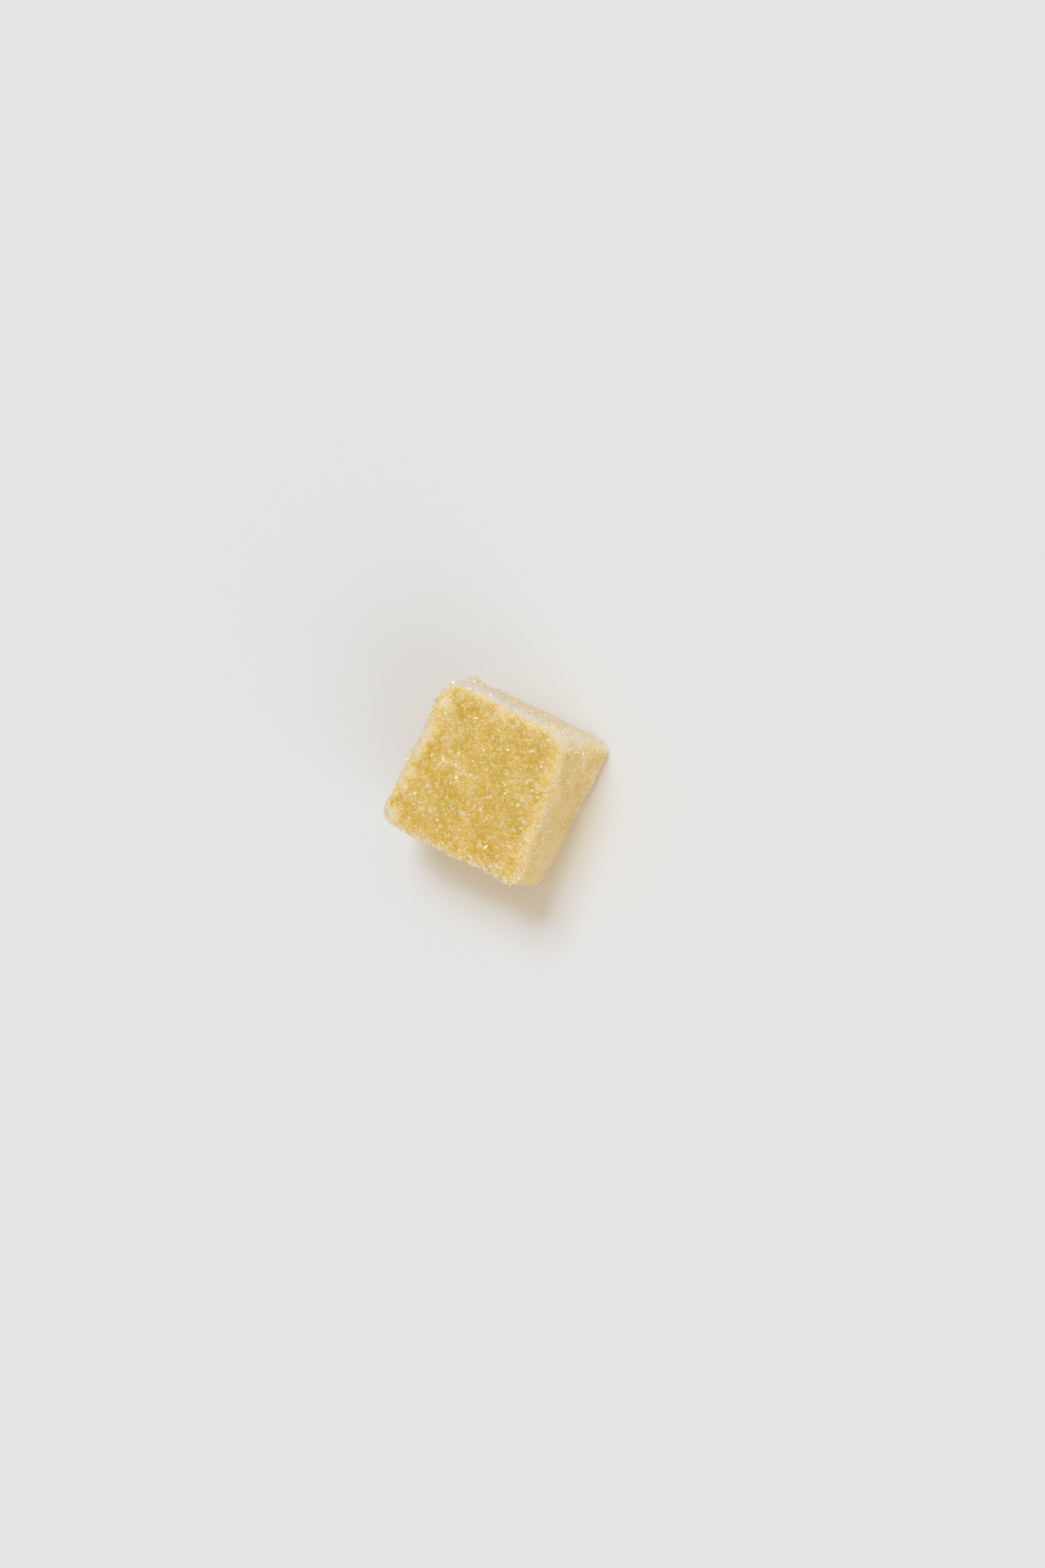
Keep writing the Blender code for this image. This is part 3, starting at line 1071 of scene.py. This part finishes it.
# %% [markdown]
# The finish of the sugar
#
# A sugar crystal is as clear as glass. What shows is the jelly behind it, a sheen on its facets, and
# its worn edges, which scatter light and look white. Real glass shaders on so many crystals need
# hundreds of bounces, and stay noisy or dark without them. So each crystal is a half-transparent skin:
# its facets cover little of what is behind them, its rims cover more, and a dry, pale grain covers more
# than a wet, clear one.
#
# Light goes on through such crystals. So they throw no shadow on the jelly and on each other, and they
# don't take part in the soft light that surfaces pass to each other. With shadows the gaps between
# them go brown, and the whole candy looks dirty.

# %% Sugar
SUGAR_COLOURS = [
    (0.0, (0.69, 0.555, 0.27)),
    (0.45, (0.775, 0.638, 0.345)),
    (1.0, (0.635, 0.575, 0.50)),
]
# Sugar itself has 1.56. It is higher here, because glints also come from the back of a crystal.
SUGAR_IOR = 1.8


def sugar_finish(name, facets, rims, roughness):
    """Crystals whose facets let more of the jelly show than their worn rims, by each grain's own tone.

    Each pair holds the value of a clear grain and that of a white one.
    """
    material, shader, wire = new_finish(name, IOR=SUGAR_IOR)
    tone = wire.node("ShaderNodeAttribute", {"attribute_name": "tone"}, output="Fac")
    rim = wire.node("ShaderNodeAttribute", {"attribute_name": "rim"}, output="Fac")
    colour = wire.node("ShaderNodeValToRGB", {"stops": SUGAR_COLOURS}, {"Fac": tone})
    cover = between((between(facets, tone), between(rims, tone)), rim)
    feed(material, shader, Base_Color=colour, Alpha=cover, Roughness=between(roughness, tone))
    return material


clear_sugar = sugar_finish("clear_sugar", facets=(0.12, 0.52), rims=(0.28, 0.70), roughness=(0.05, 0.22))
pale_sugar = sugar_finish("pale_sugar", facets=(0.22, 0.46), rims=(0.36, 0.60), roughness=(0.25, 0.50))
for piece in (coarse, heap, *grain_pieces):
    dry = piece is heap or piece.name.startswith("pale")
    piece.data.materials.append(pale_sugar if dry else clear_sugar)
    piece.visible_shadow = False
    piece.visible_diffuse = False
print(2 + len(grain_pieces), "pieces of sugar")

# %% [markdown]
# Onto the packed body
#
# Jelly and sugar stick together and move as one thing. The pieces could be joined into one mesh, but
# then they would share their numbers and their finish. Each one rides on the packed body instead, and
# the jelly takes the place of the packed solid, which is hidden.

# %% Ride on the packed body
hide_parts("gummy")
for piece in (jelly, coarse, heap, *grain_pieces):
    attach(piece, "root")
print(3 + len(grain_pieces), "pieces ride on the body")

# %% [markdown]
# The table
#
# The candy lies on a plain pale table. A small plane would show its edge in the picture, and a curved
# backdrop isn't needed when the camera looks down. A very wide disc fades into the bright room before
# its edge comes near. It is nearly matt, because a candy's mirror image would draw the eye.

# %% Table
TABLE_RADIUS = 2.5
TABLE_SIDES = 96
TABLE_COLOUR = (0.63, 0.63, 0.63, 1)

bpy.ops.mesh.primitive_circle_add(vertices=TABLE_SIDES, radius=TABLE_RADIUS, fill_type="NGON")
table = bpy.context.active_object
table.name = "table"
table_finish, *_ = new_finish(
    "pale_table", Base_Color=TABLE_COLOUR, Roughness=1.0, Specular_IOR_Level=0.1
)
table.data.materials.append(table_finish)
table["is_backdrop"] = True
print("The table is", 2 * TABLE_RADIUS, "m across")

# %% [markdown]
# The light
#
# The light is that of a bright room with a large window. A wide lamp stands for the window and gives the
# soft shadow, and nearly as much light comes from the room all round. Area lamps would light the table
# unevenly, and it would show as a grey horizon in low views. Sun lamps are even everywhere, and their
# angle makes them as soft as a window. One of them is narrow and weak: it only wakes the small glints on
# the crystals. The fill keeps the side away from the window as bright as it is in such a room.

# %% Light
ROOM_COLOUR = (1, 1, 1, 1)
ROOM_LIGHT = 0.47
# Each lamp by the heading to it in x and y, its height and spread in degrees, and its strength.
LAMPS = {
    "lamp": {"heading": (-0.50, 0.85), "height": 62, "spread": 26, "strength": 1.85},
    "sparkle": {"heading": (-0.30, 0.90), "height": 68, "spread": 7, "strength": 0.30},
    "fill": {"heading": (0.90, -0.35), "height": 22, "spread": 50, "strength": 1.30},
}
# How many see-through skins a ray may pass, one after the other.
SEEN_THROUGH = 48

room = bpy.data.worlds.new("room")
room.use_nodes = True
backdrop = room.node_tree.nodes["Background"]
backdrop.inputs["Color"].default_value = ROOM_COLOUR
backdrop.inputs["Strength"].default_value = ROOM_LIGHT
bpy.context.scene.world = room
for name, lamp in LAMPS.items():
    made = link(bpy.data.objects.new(name, bpy.data.lights.new(name, "SUN")))
    made.data.angle = math.radians(lamp["spread"])
    made.data.energy = lamp["strength"]
    height = math.radians(lamp["height"])
    level = Vector((*lamp["heading"], 0)).normalized() * math.cos(height)
    made.rotation_euler = (level + Vector((0, 0, math.sin(height)))).to_track_quat("Z", "Y").to_euler()
bpy.context.scene.view_settings.view_transform = "Standard"
bpy.context.scene.cycles.transparent_max_bounces = SEEN_THROUGH
print(len(LAMPS), "lamps and a bright room")

# %% [markdown]
# Measure both boxes
#
# The candy that shows has to be as large as the packed solid. Looking at a picture wouldn't tell, so both
# boxes are measured and printed.

# %% Measure both boxes
looks_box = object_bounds()
boxes = {"cad": cad_box, "looks": looks_box}
for name, box in boxes.items():
    print(name, "box", [np.round(MILLIMETRES * np.array(corner), 2).tolist() for corner in box], "mm")
